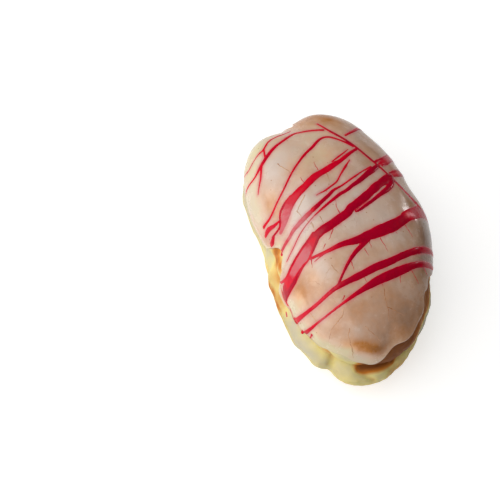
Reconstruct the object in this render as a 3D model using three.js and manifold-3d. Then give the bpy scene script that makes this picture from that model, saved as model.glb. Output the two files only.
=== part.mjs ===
// Filled doughnut: an oblong bun of two risen layers, iced on top, with a poured drizzle.
// Millimetres. +X runs along the bun, +Z is up, and the bun rests on z = 0.
import * as THREE from 'three';
import { ParametricGeometry } from 'three/addons/geometries/ParametricGeometry.js';
import { mergeVertices } from 'three/addons/utils/BufferGeometryUtils.js';
import Module from 'manifold-3d';

const { degToRad } = THREE.MathUtils;

// Place of the crown in plan, which puts the middle of the whole box over the origin
const crown = { x: -1.9, y: -1.2 };

// Upper layer of the bun, browned on top, which carries the icing
const cap = {
  halfLength: 55.8,
  halfWidth: 33.2,
  squareness: 2.3,
  widestAt: 22,
  rise: 20,
  fall: 15,
  roundOver: 2.3,
  roundUnder: 2.2,
};

// Lower layer, the pale band that bulges out under the cap
const band = {
  halfLength: 57,
  halfWidth: 33.5,
  squareness: 2.3,
  widestAt: 12,
  rise: 13,
  fall: 14,
  roundOver: 2.2,
  roundUnder: 2.6,
};

// Radius of the fillet in the crease between the two layers
const creaseFillet = 2.5;

// Uneven proof: how often a swelling repeats round the bun, its size and its direction
const proofWaves = [
  { times: 2, size: 1.8, towards: 60 },
  { times: 3, size: 2.8, towards: -25 },
];
const bandShift = { times: 1, size: 1.8, towards: -12 };

// Swellings and hollows of the cap: direction, half width in degrees, reach in millimetres
const capBulges = [
  { at: 165, width: 16, reach: 4.8 },
  { at: -166, width: 10, reach: -4.6 },
  { at: -145, width: 18, reach: 0.5 },
  { at: 138, width: 18, reach: 4.4 },
];

// Lumps of the band: the near end, the fold beside it, the waist and the dimple over the end
const bandLumps = [
  { at: -4, width: 13, height: 11, spread: 8, reach: 2.3 },
  { at: -19.8, width: 4.2, height: 12, spread: 9, reach: -2.7 },
  { at: -108, width: 20, height: 12, spread: 9, reach: -3.8 },
  { at: -1, width: 5, height: 20, spread: 3, reach: -0.8 },
];

// Icing: a thin skin with a rounded rim, just clear of the bun
const icing = { gap: 0.35, thickness: 0.9 };

// Height of the icing's rim: its mean, how much it tilts and waves, and where it runs down
const rim = {
  height: 24.5,
  tilt: 5,
  tiltTowards: 30,
  wave: 1.5,
  waveTimes: 3,
  waveTowards: 33,
  runs: [
    { at: -78, width: 36, drop: 8.5 },
    { at: -103, width: 9, drop: 4 },
    { at: -84, width: 9.5, drop: -10 },
    { at: -50, width: 14, drop: 3 },
    { at: -36, width: 8, drop: -1.5 },
    { at: -22, width: 7, drop: 1.6 },
    { at: -8, width: 8, drop: 5.6 },
    { at: 9, width: 6, drop: 1 },
    { at: 44, width: 6, drop: -2.7 },
    { at: 54, width: 9, drop: -2.3 },
    { at: 78, width: 9, drop: 3 },
    { at: 118, width: 12, drop: 4 },
    { at: 160, width: 9, drop: 2.5 },
    { at: -164, width: 12, drop: -6 },
  ],
};

// Reach of the icing from the crown to the cap's widest line, measured over the surface
const skinReach = { along: 65, across: 44 };

// Drizzle strands over the icing, each from its high end to its low end.
// A point gives its distance from the crown along and across the bun, and the strand's width.
const drizzleHeight = 1.4;
const strands = {
  farEdge: [[-39, 0, 1.2], [-30, 4.5, 1.6], [-16.5, 14.5, 1.6], [-6.5, 24, 1.6], [2, 28, 1.4]],
  farCorner: [[-35, 0.5, 1.2], [-38, -8, 1.2], [-27.5, -21, 1.8], [-26, -35.5, 1]],
  hook: [[-25, 5.5, 1.2], [-30, 0, 1.5], [-20.5, -10, 1.6], [-9, -29, 1.4], [-8, -40, 1]],
  second: [[-22, 8.5, 1.6], [-15.3, -3.4, 2.8], [-9.2, -16, 3.8], [-6, -25, 3.2], [-1, -39, 1.6]],
  third: [[-25, 29, 1.6], [-15.3, 13.7, 2.2], [-8.5, 2, 2.4], [-4.2, -7, 2.2], [-1, -22, 1.6], [1.5, -31, 1.2]],
  fourth: [
    [-17, 29, 2], [-11.5, 17.5, 3.4], [-4.8, 4.7, 3.8], [0.3, -5.8, 4], [5, -19, 4.8], [14, -30, 5.2], [22.5, -38.5, 4.4],
    [31, -46, 1.8],
  ],
  fifth: [[3, 37, 2], [2, 18, 4.8], [6, -0.5, 3.6], [8.5, -11, 1.6], [11, -20.5, 1.2]],
  fork: [[6.5, 0.5, 1.2], [11, -6, 1.6], [16.5, -11.2, 1.2]],
  sixth: [[16.3, 37, 1.6], [13, 20, 2.6], [15, -1, 2.8], [25.5, -22, 2.2], [33.5, -34, 2], [38, -39.5, 2.6]],
  last: [[22.5, 33.5, 1.6], [18.5, 18, 3], [20.5, -2.5, 2.8], [30, -20, 1.4], [42, -35.5, 1.8], [46, -40, 1.4]],
};

// Fineness of the faces
const around = 70;
const bunRows = { side: 30, underside: 3, gathered: 0.4 };
const icingRows = { over: 15, nose: 3 };
const strandSides = 6;
const strandStep = 6;

const wasm = await Module();
wasm.setup();

const bell = (distance, width) => Math.exp(-((distance / width) ** 2));

// Smallest turn in degrees from one direction to another
function turnBetween(from, to) {
  return ((((to - from) % 360) + 540) % 360) - 180;
}

// Radius of a squared oval in a direction given in degrees
function ovalRadius(layer, direction) {
  const along = Math.abs(Math.cos(degToRad(direction)) / layer.halfLength);
  const across = Math.abs(Math.sin(degToRad(direction)) / layer.halfWidth);
  return (along ** layer.squareness + across ** layer.squareness) ** (-1 / layer.squareness);
}

function waveReach(waves, direction) {
  let reach = 0;
  for (const { times, size, towards } of waves) {
    reach += size * Math.cos(degToRad(times * (direction - towards)));
  }
  return reach;
}

// Share of a layer's full width that is left at a height
function layerShare(layer, z) {
  const above = z > layer.widestAt;
  const depth = Math.abs(z - layer.widestAt) / (above ? layer.rise : layer.fall);
  const power = above ? layer.roundOver : layer.roundUnder;
  return Math.max(0, 1 - depth ** power) ** (1 / power);
}

function capRadius(direction, z) {
  const share = layerShare(cap, z);
  let radius = (ovalRadius(cap, direction) + waveReach(proofWaves, direction)) * share;
  for (const { at, width, reach } of capBulges) {
    radius += reach * share ** 2 * bell(turnBetween(at, direction), width);
  }
  return radius;
}

function bandRadius(direction, z) {
  const plan = ovalRadius(band, direction) + waveReach([...proofWaves, bandShift], direction);
  let radius = plan * layerShare(band, z);
  for (const { at, width, height, spread, reach } of bandLumps) {
    radius += reach * bell(turnBetween(at, direction), width) * bell(z - height, spread);
  }
  return radius;
}

// The larger of the two layers, with the crease between them filled round
function bunRadius(direction, z) {
  const upper = capRadius(direction, z);
  if (z >= band.widestAt + band.rise) return upper;
  const lower = bandRadius(direction, z);
  const near = Math.max(0, 1 - Math.abs(upper - lower) / creaseFillet);
  return Math.max(upper, lower) + (near ** 2 * creaseFillet) / 4;
}

// Direction in degrees for an even turn round the oval
function ovalDirection(turn) {
  const across = cap.halfWidth * Math.sin(degToRad(turn));
  return THREE.MathUtils.radToDeg(Math.atan2(across, cap.halfLength * Math.cos(degToRad(turn))));
}

function bunPoint(direction, z, share = 1) {
  const radius = bunRadius(direction, z) * share;
  return new THREE.Vector3(
    crown.x + radius * Math.cos(degToRad(direction)),
    crown.y + radius * Math.sin(degToRad(direction)),
    z,
  );
}

// Height on the cap for a slope that is 0 at the crown and 90 at the widest line
function slopeHeight(slope) {
  const fallen = Math.cos(degToRad(slope));
  if (fallen >= 0) return cap.widestAt + cap.rise * fallen ** (2 / cap.roundOver);
  return cap.widestAt - cap.fall * (-fallen) ** (2 / cap.roundUnder);
}

function heightSlope(z) {
  const above = z >= cap.widestAt;
  const depth = Math.abs(z - cap.widestAt) / (above ? cap.rise : cap.fall);
  const slope = THREE.MathUtils.radToDeg(Math.acos(depth ** ((above ? cap.roundOver : cap.roundUnder) / 2)));
  return above ? slope : 180 - slope;
}

// Point and outward normal on the cap, at a turn round the oval and a slope below the crown
function capFrame(turn, slope) {
  const reach = 0.05;
  const down = Math.max(slope, 2 * reach);
  const at = (t, s) => bunPoint(ovalDirection(t), slopeHeight(s));
  const point = at(turn, down);
  const ahead = at(turn, down + reach).sub(at(turn, down - reach));
  const sideways = at(turn + reach, down).sub(at(turn - reach, down));
  const normal = ahead.cross(sideways).normalize();
  if (slope < 2 * reach) {
    point.set(crown.x, crown.y, cap.widestAt + cap.rise);
    normal.set(0, 0, 1);
  }
  return { point, normal };
}

function rimHeight(turn) {
  let z = rim.height + rim.tilt * Math.cos(degToRad(turn - rim.tiltTowards));
  z += rim.wave * Math.cos(degToRad(rim.waveTimes * (turn - rim.waveTowards)));
  for (const { at, width, drop } of rim.runs) {
    z -= drop * bell(turnBetween(at, turn), width);
  }
  return z;
}

// Merges shared corners, drops the faces that close to nothing at a pole and turns the rest outwards
function closedGeometry(geometry) {
  geometry.deleteAttribute('normal');
  geometry.deleteAttribute('uv');
  const merged = mergeVertices(geometry, 1e-3);
  const corners = merged.index.array;
  const faces = [];
  for (let i = 0; i < corners.length; i += 3) {
    const [a, b, c] = corners.slice(i, i + 3);
    if (a !== b && b !== c && c !== a) faces.push(a, c, b);
  }
  merged.setIndex(faces);
  return merged;
}

// Bun: rows from the crown down to the floor, gathered at the crease, then in over the flat underside
function bunGeometry() {
  const height = cap.widestAt + cap.rise;
  const rows = bunRows.side + bunRows.underside;
  const surface = (turnShare, rowShare, target) => {
    const direction = ovalDirection(360 * turnShare);
    const row = rowShare * rows;
    const side = Math.min(row / bunRows.side, 1);
    const inward = Math.max(0, row - bunRows.side) / bunRows.underside;
    const down = Math.PI * side + (bunRows.gathered / 2) * Math.sin(2 * Math.PI * side);
    const z = (height * (1 + Math.cos(down))) / 2;
    const share = side === 0 ? 0 : 1 - inward;
    target.copy(bunPoint(direction, z, share));
  };
  return closedGeometry(new ParametricGeometry(surface, around, rows));
}

// Icing: rows over the outside, level at the crown and following the rim lower down, round its nose
// and back up underneath
function icingGeometry() {
  const rows = 2 * icingRows.over + icingRows.nose;
  const half = icing.thickness / 2;
  const surface = (turnShare, rowShare, target) => {
    const turn = 360 * turnShare;
    const end = heightSlope(rimHeight(turn));
    const row = rowShare * rows;
    const round = THREE.MathUtils.clamp((row - icingRows.over) / icingRows.nose, 0, 1) * Math.PI;
    const overShare = Math.min(row, rows - row, icingRows.over) / icingRows.over;
    const noseSlope = (90 * half * Math.sin(round)) / skinReach.across;
    const rowSlope = THREE.MathUtils.lerp(90, end, overShare) * overShare;
    const slope = rowSlope + noseSlope;
    const { point, normal } = capFrame(turn, slope);
    target.copy(point).addScaledVector(normal, icing.gap + half * (1 + Math.cos(round)));
  };
  return closedGeometry(new ParametricGeometry(surface, around, rows));
}

// Turn and slope of a point given by its distances from the crown over the icing
function skinPlace(along, across) {
  const u = along / skinReach.along;
  const w = across / skinReach.across;
  return { turn: THREE.MathUtils.radToDeg(Math.atan2(w, u)), slope: 90 * Math.hypot(u, w) };
}

// Strand: a flattened round section carried over the icing, closing to a tip at both ends
function strandGeometry(points) {
  const path = new THREE.CatmullRomCurve3(points.map((point) => new THREE.Vector3(...point)));
  const onIcing = (share) => {
    const { x, y } = path.getPoint(THREE.MathUtils.clamp(share, 0, 1));
    const { turn, slope } = skinPlace(x, y);
    const { point, normal } = capFrame(turn, slope);
    return { centre: point.addScaledVector(normal, icing.gap + icing.thickness), normal };
  };
  const surface = (sideShare, share, target) => {
    const { centre, normal } = onIcing(share);
    const forward = onIcing(share + 0.01).centre.sub(onIcing(share - 0.01).centre);
    const sideways = forward.cross(normal).normalize();
    const swell = Math.sqrt(1 - Math.abs(2 * share - 1) ** 8);
    const angle = 2 * Math.PI * sideShare;
    const halfWidth = (path.getPoint(share).z / 2) * swell;
    const halfHeight = (drizzleHeight / 2) * swell;
    target.copy(centre);
    target.addScaledVector(sideways, halfWidth * Math.cos(angle));
    target.addScaledVector(normal, halfHeight * Math.sin(angle));
  };
  const steps = Math.ceil(path.getLength() / strandStep);
  return closedGeometry(new ParametricGeometry(surface, strandSides, steps));
}

function toSolid(geometry) {
  const vertProperties = new Float32Array(geometry.getAttribute('position').array);
  const triVerts = new Uint32Array(geometry.index.array);
  return new wasm.Manifold(new wasm.Mesh({ numProp: 3, vertProperties, triVerts }));
}

function toGeometry(solid) {
  const { vertProperties, triVerts } = solid.getMesh();
  const geometry = new THREE.BufferGeometry();
  geometry.setAttribute('position', new THREE.BufferAttribute(vertProperties, 3));
  geometry.setIndex(new THREE.BufferAttribute(triVerts, 1));
  return geometry;
}

// Icing with the drizzle fused on
function icedGeometry() {
  let solid = toSolid(icingGeometry());
  for (const points of Object.values(strands)) {
    solid = solid.add(toSolid(strandGeometry(points)));
  }
  return toGeometry(solid);
}

function subPart(name, geometry, colour, roughness) {
  geometry.computeVertexNormals();
  const material = new THREE.MeshStandardMaterial({ color: colour, roughness, metalness: 0 });
  const mesh = new THREE.Mesh(geometry, material);
  mesh.name = name;
  return mesh;
}

const doughnut = new THREE.Group();
doughnut.add(subPart('dough', bunGeometry(), '#d8b87a', 0.7));
doughnut.add(subPart('icing', icedGeometry(), '#d8bca8', 0.3));

export default doughnut;
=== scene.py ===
"""Filled doughnut: the looks of an oblong iced bun with a poured red drizzle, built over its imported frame."""

from collections import namedtuple
from functools import partial

import bpy
import numpy as np
from mathutils import Matrix


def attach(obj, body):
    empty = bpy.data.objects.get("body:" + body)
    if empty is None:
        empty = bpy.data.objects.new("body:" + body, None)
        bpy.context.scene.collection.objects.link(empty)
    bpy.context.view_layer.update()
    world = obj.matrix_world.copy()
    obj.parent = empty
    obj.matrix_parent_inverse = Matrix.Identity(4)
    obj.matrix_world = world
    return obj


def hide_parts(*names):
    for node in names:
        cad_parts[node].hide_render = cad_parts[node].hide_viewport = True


bl_info = {
    "name": "Filled doughnut",
    "version": (1, 0, 0),
    "blender": (4, 5, 0),
    "location": "3D View > Sidebar > Doughnut",
    "description": "Makes an oblong filled doughnut with sugar icing and a poured red drizzle",
    "category": "Add Mesh",
}

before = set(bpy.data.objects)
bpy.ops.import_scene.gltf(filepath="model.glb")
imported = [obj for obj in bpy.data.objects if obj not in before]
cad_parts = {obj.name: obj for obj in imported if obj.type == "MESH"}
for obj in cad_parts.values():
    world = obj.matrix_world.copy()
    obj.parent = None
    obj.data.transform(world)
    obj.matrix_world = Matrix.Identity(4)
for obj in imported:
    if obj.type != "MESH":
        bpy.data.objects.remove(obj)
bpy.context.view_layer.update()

# One millimetre in metres. Shapes are worked out in millimetres, as in the solids, and meshed in metres.
MM = 0.001


def rows_of(kind, rows):
    """The rows of a table as named tuples of a kind."""
    return tuple(kind(*row) for row in rows)


# The bun's form, which is that of the solids
CROWN = (-1.9, -1.2)
Layer = namedtuple(
    "Layer", "half_length half_width squareness widest_at rise fall round_over round_under"
)
CAP = Layer(55.8, 33.2, 2.3, 22.0, 20.0, 15.0, 2.3, 2.2)
BAND = Layer(57.0, 33.5, 2.3, 12.0, 13.0, 14.0, 2.2, 2.6)
CROWN_HEIGHT = CAP.widest_at + CAP.rise
BAND_TOP = BAND.widest_at + BAND.rise

# Uneven proof: how often a swelling repeats round the bun, its size in mm and its direction
Wave = namedtuple("Wave", "times size towards")
PROOF_WAVES = (Wave(2, 1.8, 60), Wave(3, 2.8, -25))
BAND_SHIFT = Wave(1, 1.8, -12)

# Swellings of the cap and lumps of the band: direction and half width in degrees, the rest in mm
Bulge = namedtuple("Bulge", "at width reach")
CAP_BULGES = rows_of(Bulge, (
    (165, 16, 4.8), (-166, 10, -4.6), (-145, 18, 0.5), (138, 18, 4.4),
))
Lump = namedtuple("Lump", "at width height spread reach")
BAND_LUMPS = rows_of(Lump, (
    (-4, 13, 11, 8, 2.3), (-19.8, 3.8, 12, 9, -2.6), (-108, 20, 12, 9, -3.8), (-1, 5, 20, 3, -0.6),
))

# Fine creases pressed into the band: depth and half width in mm, then points of direction and height
Crease = namedtuple("Crease", "depth width points")
CREASES = rows_of(Crease, (
    (0.8, 1.3, ((-34, 19.5), (-29, 20.5), (-24, 20.5), (-21.5, 18), (-20.5, 14))),
    (0.6, 0.9, ((-10, 17), (-6, 15.5), (-4, 14.5), (-2.5, 13.5))),
    (0.5, 0.7, ((6, 17), (14, 18.4), (24, 19))),
    (0.6, 0.8, ((-58, 18), (-68, 16.5), (-80, 17.5))),
    (0.5, 0.7, ((-62, 10), (-72, 8.5), (-86, 10))),
    (0.5, 0.8, ((60, 16), (85, 17.5), (110, 16.5))),
    (0.5, 0.8, ((150, 17), (172, 15.5), (-168, 16.5))),
))

# Swellings of the crust: just under the icing's rim, and low on the left
CRUST_LUMPS = rows_of(Lump, ((30, 14, 25, 5, 1.2), (-72, 8, 9, 8, 1.0)))

# Height in mm below which the lumps and creases fade, so that the foot stays flat
FOOT_FLAT = 2.5

# Side where the icing runs out thin over the pale dough: direction and half width, and the loss at its edge
THIN_RIM = Bulge(-55, 70, 0.7)

# Browning of the bun, from 0 to 1
PALEST = 0.08

# Direction of the side that the fat didn't reach, and the turns from it over which it ends
PALE_SIDE = -90
PALE_ENDS = (75, 82)

# Lower edge of the brown crust in mm, how far it rises and between which directions it rises and falls
# again, the height over which it fades, how brown it is, and how much less so where it rises
CRUST_EDGE = 16.3
CRUST_RISE = 12.0
CRUST_RISES = (6, 20)
CRUST_FALLS = (50, 80)
CRUST_FADE = 1.5
CRUST_BROWN = 0.95
CRUST_RISE_LOSS = 0.2

# Golden foot: how brown it is, the share lost on the pale side and the heights over which it ends
FOOT_BROWN = 0.5
FOOT_LOSS = 0.7
FOOT_ENDS = (0.5, 5)

# Straw tint low on the side, the heights over which it ends, and the painted shade of a crease of 1 mm: a
# yellow tint added to its browning
LOW_TINT = 0.18
LOW_ENDS = (3, 14)
CREASE_SHADE_TINT = 0.2

# Mottling of the browning on the side and on the underside, and its size in mm
SIDE_MOTTLE = 0.03
UNDER_MOTTLE = 0.1
MOTTLE_SIZE = 9

# Toasted places of the bun: direction and half width in degrees, height and half height in mm, and browning;
# the places at -24 high in the crease and at 9 and 24 low on the right are also painted shade
Toast = namedtuple("Toast", "at width height spread bake")
TOASTS = rows_of(Toast, (
    (-80, 6, 21, 6, 0.7), (-85, 6, 24, 6, 0.72), (-74, 6, 23.5, 4, 0.56), (-72, 14, 15, 6, 0.38),
    (-58, 9, 15, 6, 0.42), (-65, 8, 11.5, 3.5, 0.56), (-58, 6, 10.5, 3, 0.55), (-71, 6, 9.5, 3, 0.5),
    (-50, 8, 8, 3, 0.3), (-84, 10, 5, 5, 0.3), (-24, 14, 19.5, 4, 0.3), (-8, 15, 9, 11, 0.22),
    (-3, 8, 2, 3, 0.45), (24, 20, 12, 9, 0.32), (9, 9, 12, 7, 0.42), (-168, 6, 30, 4, 0.55),
))

# Painted shade on the bun's side, in the same terms, with the share of the darker shade tone last
PAINTED_SHADES = rows_of(Toast, (
    (-66, 13, 10, 4.5, 1.0), (-49, 9, 10, 4, 0.95), (-19, 9, 13, 4, 0.45),
))
PAINTED_SHADE_TONE = (0.8, 0.77, 0.72)

# The underside is browned all over, paler towards its rim over these shares of the way in
UNDER_BROWN = 0.72
UNDER_RIM = (0.0, 0.22)

# The floor lies a hair under the bun, in mm, so that no two faces share a plane, and reaches this far in m
FLOOR_GAP = 0.1
FLOOR_REACH = 1.5

# Height of the icing's rim in mm by the turn round the oval: mean, tilt, waves, and where it runs down
RIM_HEIGHT = 24.5
RIM_WAVES = (Wave(1, 5.0, 30), Wave(3, 1.5, 33))
RIM_RUNS = rows_of(Bulge, (
    (-78, 36, -8.5), (-103, 8, -4.5), (-87, 4.5, 10), (-81, 4.5, 10), (-50, 14, -3), (-36, 8, 1.5),
    (-22, 7, -1.6), (-9, 7, -4.6), (6, 6, 0.8), (22, 5, -0.4), (44, 5, 2.9), (54, 9, 2.3), (78, 9, -3),
    (118, 12, -4), (160, 9, -2.5), (-164, 7, 10),
))

# How the drizzle leaves the icing for the bun, in shares of the rounded nose of the rim
RIM_DRAPE = (0.3, 1.8)

# Near the rim: where the icing thins out on the pale side in mm, the bake it fades to, the veil lost there,
# and the veil gained along the thick rim over this width in mm
RIM_FADE = (1, 11)
RIM_FADE_BAKE = 0.05
RIM_FADE_VEIL = 0.6
RIM_VEIL = 0.15
RIM_VEIL_WIDTH = 3

# Distance in mm to which the drizzle stains the icing beside it
STAIN_REACH = 0.7

# Fillet of the crease in the solids, from which the icing is set out
SOLID_FILLET = 2.5

# Reach of the icing from the crown to the cap's widest line, over the surface, in mm
SKIN_ALONG = 65.0
SKIN_ACROSS = 44.0

# Drizzle strands: width in mm, how thick the poured icing is from 0 to 1, and points given by their
# distance from the crown along and across the bun, in mm
Strand = namedtuple("Strand", "width thick points")
STRANDS = rows_of(Strand, (
    ((0.8, 1.0, 1.0, 1.1, 0.7, 0.5, 0.6, 0.4), (0.6, 0.6, 0.6, 0.6, 0.45, 0.4, 0.4, 0.3), (
        (-43.5, -12.5), (-39, -17), (-35.5, -20.5), (-31.5, -23), (-31.2, -26), (-30.5, -30), (-30.5, -33),
        (-33, -37),
    )),
    (0.9, 0.65, ((-31.5, -23), (-29, -23), (-27, -23))),
    ((1.2, 1.1, 1.4, 1.4, 1.8, 1.6, 1.0, 0.9, 0.6), (0.8, 0.4, 0.7, 0.75, 0.85, 0.75, 0.6, 0.5, 0.35), (
        (-34.5, 0.5), (-38, -7.5), (-38, -12), (-31, -16.7), (-27, -21.7), (-24.7, -26.5), (-24.4, -31.7),
        (-26.7, -38.5), (-28.5, -43),
    )),
    ((1.2, 1.0, 0.8, 0.5), (0.7, 0.55, 0.4, 0.25), (
        (-24.5, -25.5), (-21.5, -27.5), (-19.5, -30), (-18, -32),
    )),
    (
        (1.2, 1.1, 1.1, 1.3, 1.3, 1.0, 0.9, 0.9, 1.0, 1.3),
        (0.8, 0.75, 0.75, 0.8, 0.8, 0.75, 0.75, 0.65, 0.6, 0.7),
        (
            (-23.5, 8), (-28, 3), (-29.8, 0.2), (-29, -3.2), (-24.5, -8), (-17.8, -12.2),
            (-13, -18.7), (-10.3, -26), (-8.6, -32.5), (-8.4, -39),
        ),
    ),
    (
        (1.4, 1.9, 2.7, 3.0, 3.2, 3.4, 3.7, 3.5, 2.6, 1.5),
        (0.8, 0.7, 0.65, 0.6, 0.6, 0.6, 0.3, 0.1, 0.06, 0.1),
        (
            (-22, 8.5), (-18.1, 1.9), (-15.3, -3.4), (-12.4, -7), (-10.3, -11.2), (-9.2, -16.1),
            (-7.9, -20.3), (-6, -24.3), (-4, -27.5), (-1.8, -31.5),
        ),
    ),
    ((0.7, 1.0, 1.1, 1.0, 1.0, 1.0, 1.0), (0.7, 0.9, 0.9, 0.9, 0.9, 0.9, 0.9), (
        (-9.9, -18.5), (-9, -22.2), (-7.8, -25.5), (-6.6, -27.4), (-5, -28.8), (-3.4, -31.5), (-2.4, -37.5),
    )),
    ((1.0, 2.2, 1.2), (0.7, 0.85, 0.5), ((-2.5, -36), (-1, -39), (-0.5, -42))),
    ((1.0, 1.6, 2.2, 1.4), (0.6, 0.45, 0.5, 0.6), ((-5.5, -29), (-5.5, -33), (-6, -37.5), (-5.5, -41.5))),
    ((0.5, 0.8, 0.9, 0.7), 0.65, ((-22, 5.6), (-20.5, 3.2), (-19.2, 0.7), (-17.6, -2))),
    ((0.6, 1.1, 0.8, 0.9, 0.9, 0.5), (0.5, 0.65, 0.55, 0.55, 0.5, 0.3), (
        (-17.2, 4), (-14.8, 1.5), (-12.1, -1), (-8.9, -3.4), (-7.1, -6), (-6.7, -9.5),
    )),
    ((0.9, 0.8, 0.9, 0.9, 1.2, 1.6, 1.8, 1.9), (0.7, 0.6, 0.6, 0.65, 0.8, 0.95, 0.95, 0.8), (
        (-15, 11), (-12.6, 6.3), (-10.9, 3.2), (-9.1, -0.3), (-6.8, -3.8), (-5.5, -6.1), (-4.5, -10.1),
        (-3.8, -13.3),
    )),
    ((1.6, 2.1, 1.8, 1.6, 1.5, 1.4, 1.2), (0.4, 0.15, 0.12, 0.15, 0.15, 0.25, 0.4), (
        (-3.8, -13.2), (-2.9, -16.8), (-1.6, -21.1), (0, -25.5), (1.8, -28.7), (4, -34), (6.2, -38.2),
    )),
    ((2.2, 2.5, 2.3, 2.1, 1.7, 1.6, 1.5, 1.2, 1.0, 0.7), (1, 1, 1, 1, 1, 0.9, 0.9, 0.8, 0.65, 0.4), (
        (-15.3, 13.7), (-13.4, 10.6), (-11.5, 7.3), (-9.2, 3.7), (-7.7, 0.8), (-5.8, -2), (-4.5, -4.2),
        (-3.9, -6.9), (-3.2, -10.2), (-2.3, -13.7),
    )),
    (0.55, 0.25, ((-2.3, -13.7), (-1.1, -17), (0.5, -20.5), (2.7, -24.2), (6.3, -28.7), (10.3, -34))),
    ((2.8, 4.4, 3.7, 3.6, 3.5, 3.5, 3.6, 3.8, 3.8, 3.4), (1, 1, 1, 1, 1, 1, 1, 1, 1, 0.75), (
        (-12.2, 18.4), (-11, 16.6), (-8.2, 10.6), (-4.8, 4.7), (-2.6, 0.8), (-0.9, -2), (0.3, -5.8),
        (1.9, -10.4), (3.2, -14.6), (5.4, -19),
    )),
    ((3.4, 4.9, 5.2, 5.0, 5.0, 3.2), (0.6, 0.08, 0.01, 0.2, 0.85, 0.9), (
        (5.3, -18.2), (8.2, -22.3), (12, -27), (16.5, -32.5), (21.5, -39.5), (27.5, -45),
    )),
    ((1.3, 1.2, 1.3, 1.2, 1.2, 1.0), (0.9, 0.9, 0.9, 0.8, 0.45, 0.25), (
        (3, -17.5), (7.2, -24), (12, -30.7), (16.3, -36.5), (18.5, -42), (18.5, -48),
    )),
    ((1.0, 1.3, 1.5, 1.2), (0.25, 0.6, 0.8, 0.7), ((18.5, -47), (23, -48), (27.5, -48.5), (32, -46.5))),
    ((1.4, 1.4, 0.9, 1.2, 1.8, 2.8, 3.2, 3.0, 1.4), (1, 0.95, 0.55, 0.85, 1, 1, 1, 0.95, 0.7), (
        (4.5, -15.8), (7, -18), (11.2, -22), (13.1, -25.1), (15.6, -28.6), (18.2, -32), (21.5, -36.5),
        (26.5, -42.5), (32, -46),
    )),
    ((2.6, 2.5, 2.4, 1.9, 1.6, 1.4, 1.0), 1, (
        (-10.6, 17.6), (-8.5, 15.9), (-6.5, 12.8), (-4.7, 9), (-2.9, 5.3), (-1.5, 2.2), (-0.4, -0.3),
    )),
    ((4.2, 5.2, 4.5, 2.5, 1.6, 1.2), (1, 1, 1, 0.95, 0.7, 0.35), (
        (2.2, 16), (4.6, 8.2), (5.6, 1.5), (6.9, -6.3), (9, -13.2), (11, -21),
    )),
    ((4.5, 5.3, 5.7, 5.0, 3.0), (0.75, 0.25, 0.25, 0.35, 0.4), (
        (2, 15.5), (1, 20.5), (0, 26.5), (0.5, 33), (3, 38),
    )),
    ((1.4, 1.9, 1.3, 0.9), 0.95, ((7, 0.5), (9, -3.7), (13.2, -8.3), (19, -13.2))),
    ((2.0, 2.6, 3.0, 2.8, 3.3, 2.8, 1.9, 1.5, 2.0, 3.2), (0.7, 0.8, 0.95, 1, 1, 1, 0.85, 0.45, 0.4, 0.85), (
        (17, 41), (14.2, 28.5), (13.4, 19), (14, 9.5), (15.3, 1.5), (17, -7), (20.2, -14.7), (26.5, -24),
        (33.5, -34), (40, -42.3),
    )),
    (
        (2.0, 2.6, 2.7, 3.9, 3.7, 2.1, 1.1, 1.0, 1.3, 1.7, 1.3),
        (0.7, 0.8, 0.95, 1, 1, 0.95, 0.6, 0.25, 0.7, 0.8, 0.7),
        (
            (24, 39), (20.1, 27), (18.2, 17), (18.3, 8.5), (19.6, 1.1), (21.6, -6.7),
            (25.8, -14.7), (32.4, -24), (37.1, -29.5), (42.6, -35.5), (48, -42),
        ),
    ),
    ((1.2, 0.6, 0.7), (0.8, 0.5, 0.5), ((41.7, -31.4), (45, -33.7), (49.5, -37))),
    ((1.0, 1.3, 1.3, 1.4, 1.6, 2.2, 2.6), (0.7, 0.85, 0.9, 0.9, 0.85, 0.75, 0.6), (
        (-40, 0), (-32, 3), (-24, 8.4), (-16.5, 14), (-9.5, 19.7), (-2.6, 27), (0.5, 31),
    )),
    ((1.0, 1.4, 1.6, 1.2), (0.7, 0.8, 0.8, 0.7), ((-29, 7.5), (-32.5, 12.5), (-39.5, 20.5), (-44, 30))),
    ((1.4, 1.2, 1.2, 1.0), 0.85, ((-17.5, 14.5), (-20.5, 20), (-26.5, 29), (-28.5, 38))),
    ((1.4, 2.6, 2.6, 2.0), (0.6, 0.5, 0.5, 0.5), ((-16.5, 15.5), (-19, 20), (-25, 29), (-27, 38))),
    ((1.0, 1.2, 1.2, 1.0), 0.85, ((-16, 16.5), (-18, 20.5), (-23.5, 29), (-25.5, 38))),
    ((2.0, 2.6, 2.8, 2.0), (0.7, 0.5, 0.55, 0.5), ((-12.5, 19), (-14.5, 24), (-17.5, 31.5), (-19, 38))),
    ((1.0, 1.2, 1.0), 0.85, ((-13.5, 18.5), (-16, 24), (-19, 31.5))),
    ((0.7, 0.9), 0.25, ((37, -51.5), (39.5, -51.5))),
    ((0.7, 0.8, 0.7), 0.12, ((34, -45), (37, -46), (40.5, -45.5))),
    ((0.7, 0.6, 0.4), 0.3, ((9.5, -14), (11, -17.5), (12, -19.5))),
))

# A strand's wavering width and its size in mm, and its least half width
STRAND_WAVER = 0.04
STRAND_WAVER_SIZE = 6
LEAST_HALF_WIDTH = 0.1

# The drizzle's field: the ground that it covers along and across in mm, its lowest value, the gap far from
# any strand and the margin round a strand in mm, and how many points are worked out at once
DRIZZLE_ALONG = (-50, 54)
DRIZZLE_ACROSS = (-53, 46)
FIELD_LOWEST = -4.0
FAR_GAP = 20.0
STRAND_MARGIN = 5.0
BATCH = 20000

# How much the nearest strand counts, the rounding where strands join and the value from which they do,
# and the waver of the edge and its size in mm
NEAREST_COUNTS = 5
JOIN = 0.5
JOIN_FROM = -0.6
EDGE_WAVER = 0.03
EDGE_WAVER_SIZE = 2.6

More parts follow.
